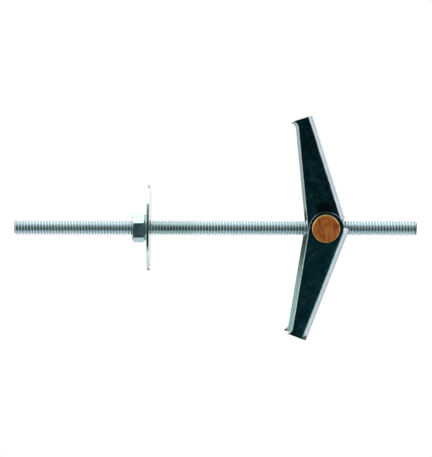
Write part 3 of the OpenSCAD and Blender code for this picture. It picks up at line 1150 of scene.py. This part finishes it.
# %% Light the studio
FLOOR_Z = -0.16
FLOOR_MIDDLE = Vector((head.x / 2, 0.17, FLOOR_Z))
FLOOR_RADIUS = 0.27
FLOOR_SIDES, FLOOR_ROUGHNESS = 64, 0.9
FLOOR_TONE, LOW_TONE, POST_TONE = (0.68, 0.75, 0.76), (0.36, 0.46, 0.47), (0.55, 0.62, 0.66)
WHITE = (1, 1, 1)
# (where there is none of a tone, where there is all of it); the floor's is a distance
FLOOR_FADE = (0.55 * FLOOR_RADIUS, 0.97 * FLOOR_RADIUS)
UP_AND_BACK, LOW_FADE = (0, 0.6, 0.8), (-0.35, -0.85)
POST_EDGE, POST_END, OPENING_EDGE = (0.26, 0.1), (0.7, 0.5), (1.2, 0.8)
LAMP_AIM, LAMP_SIZE = Vector((30 * MM, 0, 0)), 1.0
# (which way it faces along Y, height of its middle, half width, half height, its two tones)
OPENINGS = [(-1, -0.09, 0.48, 0.84, (0.0008, 0.004, 0.008), (0.013, 0.070, 0.080)),
            (1, -0.29, 0.85, 0.17, (0.22, 0.28, 0.30), (0.28, 0.34, 0.36))]


def room():
    """The world: what the metal reflects, and plain white behind the object."""
    world = bpy.data.worlds.new("room")
    bpy.context.scene.world = world
    world.use_nodes = True
    tree = world.node_tree
    tree.nodes.clear()
    way = add(tree, "ShaderNodeTexCoord").outputs["Generated"]

    def along(axis):
        return vector_node(tree, "DOT_PRODUCT", way, axis)

    colour = mix_colour(tree, ramp(tree, along(UP_AND_BACK), *LOW_FADE), WHITE, LOW_TONE)
    post = ramp(tree, math_node(tree, "ABSOLUTE", along((0, 1, 0))), *POST_EDGE)
    beside = ramp(tree, math_node(tree, "ABSOLUTE", along((0, 0, 1))), *POST_END)
    colour = mix_colour(tree, math_node(tree, "MULTIPLY", post, beside), colour, POST_TONE)

    uneven = add(tree, "ShaderNodeTexNoise", {"Vector": way, "Scale": 18.0, "Detail": 2.0})
    patches = ramp(tree, uneven.outputs["Fac"], 0.34, 0.72, smooth=False)
    for facing, middle, half_width, half_height, dark, light in OPENINGS:
        laid = vector_node(tree, "MULTIPLY_ADD", way, (1 / half_width, 0, 1 / half_height),
                           (0, 0, -middle / half_height))
        within = ramp(tree, vector_node(tree, "LENGTH", laid), *OPENING_EDGE)
        faced = math_node(tree, "GREATER_THAN", along((0, facing, 0)), 0)
        colour = mix_colour(tree, math_node(tree, "MULTIPLY", within, faced), colour,
                            mix_colour(tree, patches, dark, light))

    seen = add(tree, "ShaderNodeLightPath").outputs["Is Camera Ray"]
    background = add(tree, "ShaderNodeBackground",
                     {"Color": mix_colour(tree, seen, colour, WHITE)})
    add(tree, "ShaderNodeOutputWorld", {"Surface": background.outputs[0]})


def pale_floor():
    """A round pale floor under the object, which fades into the white room at its edge."""
    material, tree, shader = new_material("pale_floor")
    fade = mask(tree, ring(FLOOR_MIDDLE, ALL_ROUND, *FLOOR_FADE))
    tree.links.new(mix_colour(tree, fade, FLOOR_TONE, WHITE), shader.inputs["Base Color"])
    shader.inputs["Roughness"].default_value = FLOOR_ROUGHNESS
    rim = [FLOOR_MIDDLE + FLOOR_RADIUS * Vector((cos(a), sin(a), 0)) for a in angles(FLOOR_SIDES)]
    mesh = bpy.data.meshes.new("floor")
    mesh.from_pydata(rim, [], [tuple(range(FLOOR_SIDES))])
    mesh.materials.append(material)
    place_object("floor", mesh)


def soft_lamp(name, place, power):
    """A square soft box that looks at the rod."""
    data = bpy.data.lights.new(name, "AREA")
    data.size, data.energy = LAMP_SIZE, power
    lamp = bpy.data.objects.new(name, data)
    lamp.location = place
    lamp.rotation_euler = (LAMP_AIM - Vector(place)).to_track_quat("-Z", "Y").to_euler()
    bpy.context.scene.collection.objects.link(lamp)


room()
pale_floor()
soft_lamp("top_box", (0.0, 0.05, 0.9), power=3.0)
soft_lamp("side_box", (-0.5, -0.6, 0.6), power=1.0)
bpy.context.scene.view_settings.view_transform = "Standard"
print("the floor lies", round(-FLOOR_Z * 1000), "mm below the rod")

# %% [markdown]
# ## The camera
#
# A long lens from a little above the rod, square to it, so that the washers are seen
# nearly edge on and the end of the trunnion is a disc in front of the wings.

# %% Set the camera
AIM = Vector((27.9 * MM, 0, -0.3 * MM))
DISTANCE = 740 * MM
AZIMUTH, ELEVATION, BANK = radians(-1.0), radians(1.3), radians(0.16)
LENS, SENSOR = 137.7, 36

camera_data = bpy.data.cameras.new("camera")
camera_data.lens = LENS
camera_data.sensor_width = SENSOR
camera = bpy.data.objects.new("camera", camera_data)
away = Vector((sin(AZIMUTH) * cos(ELEVATION), -cos(AZIMUTH) * cos(ELEVATION), sin(ELEVATION)))
camera.location = AIM + DISTANCE * away
camera.rotation_euler = ((-away).to_track_quat("-Z", "Y").to_matrix()
                         @ Matrix.Rotation(BANK, 3, "Z")).to_euler()
bpy.context.scene.collection.objects.link(camera)
bpy.context.scene.camera = camera
print("camera", [round(c, 4) for c in camera.location])

# %% [markdown]
# ## Finish
#
# The finished meshes have to fill the same box as the construction.

# %% Finish
bpy.context.view_layer.update()
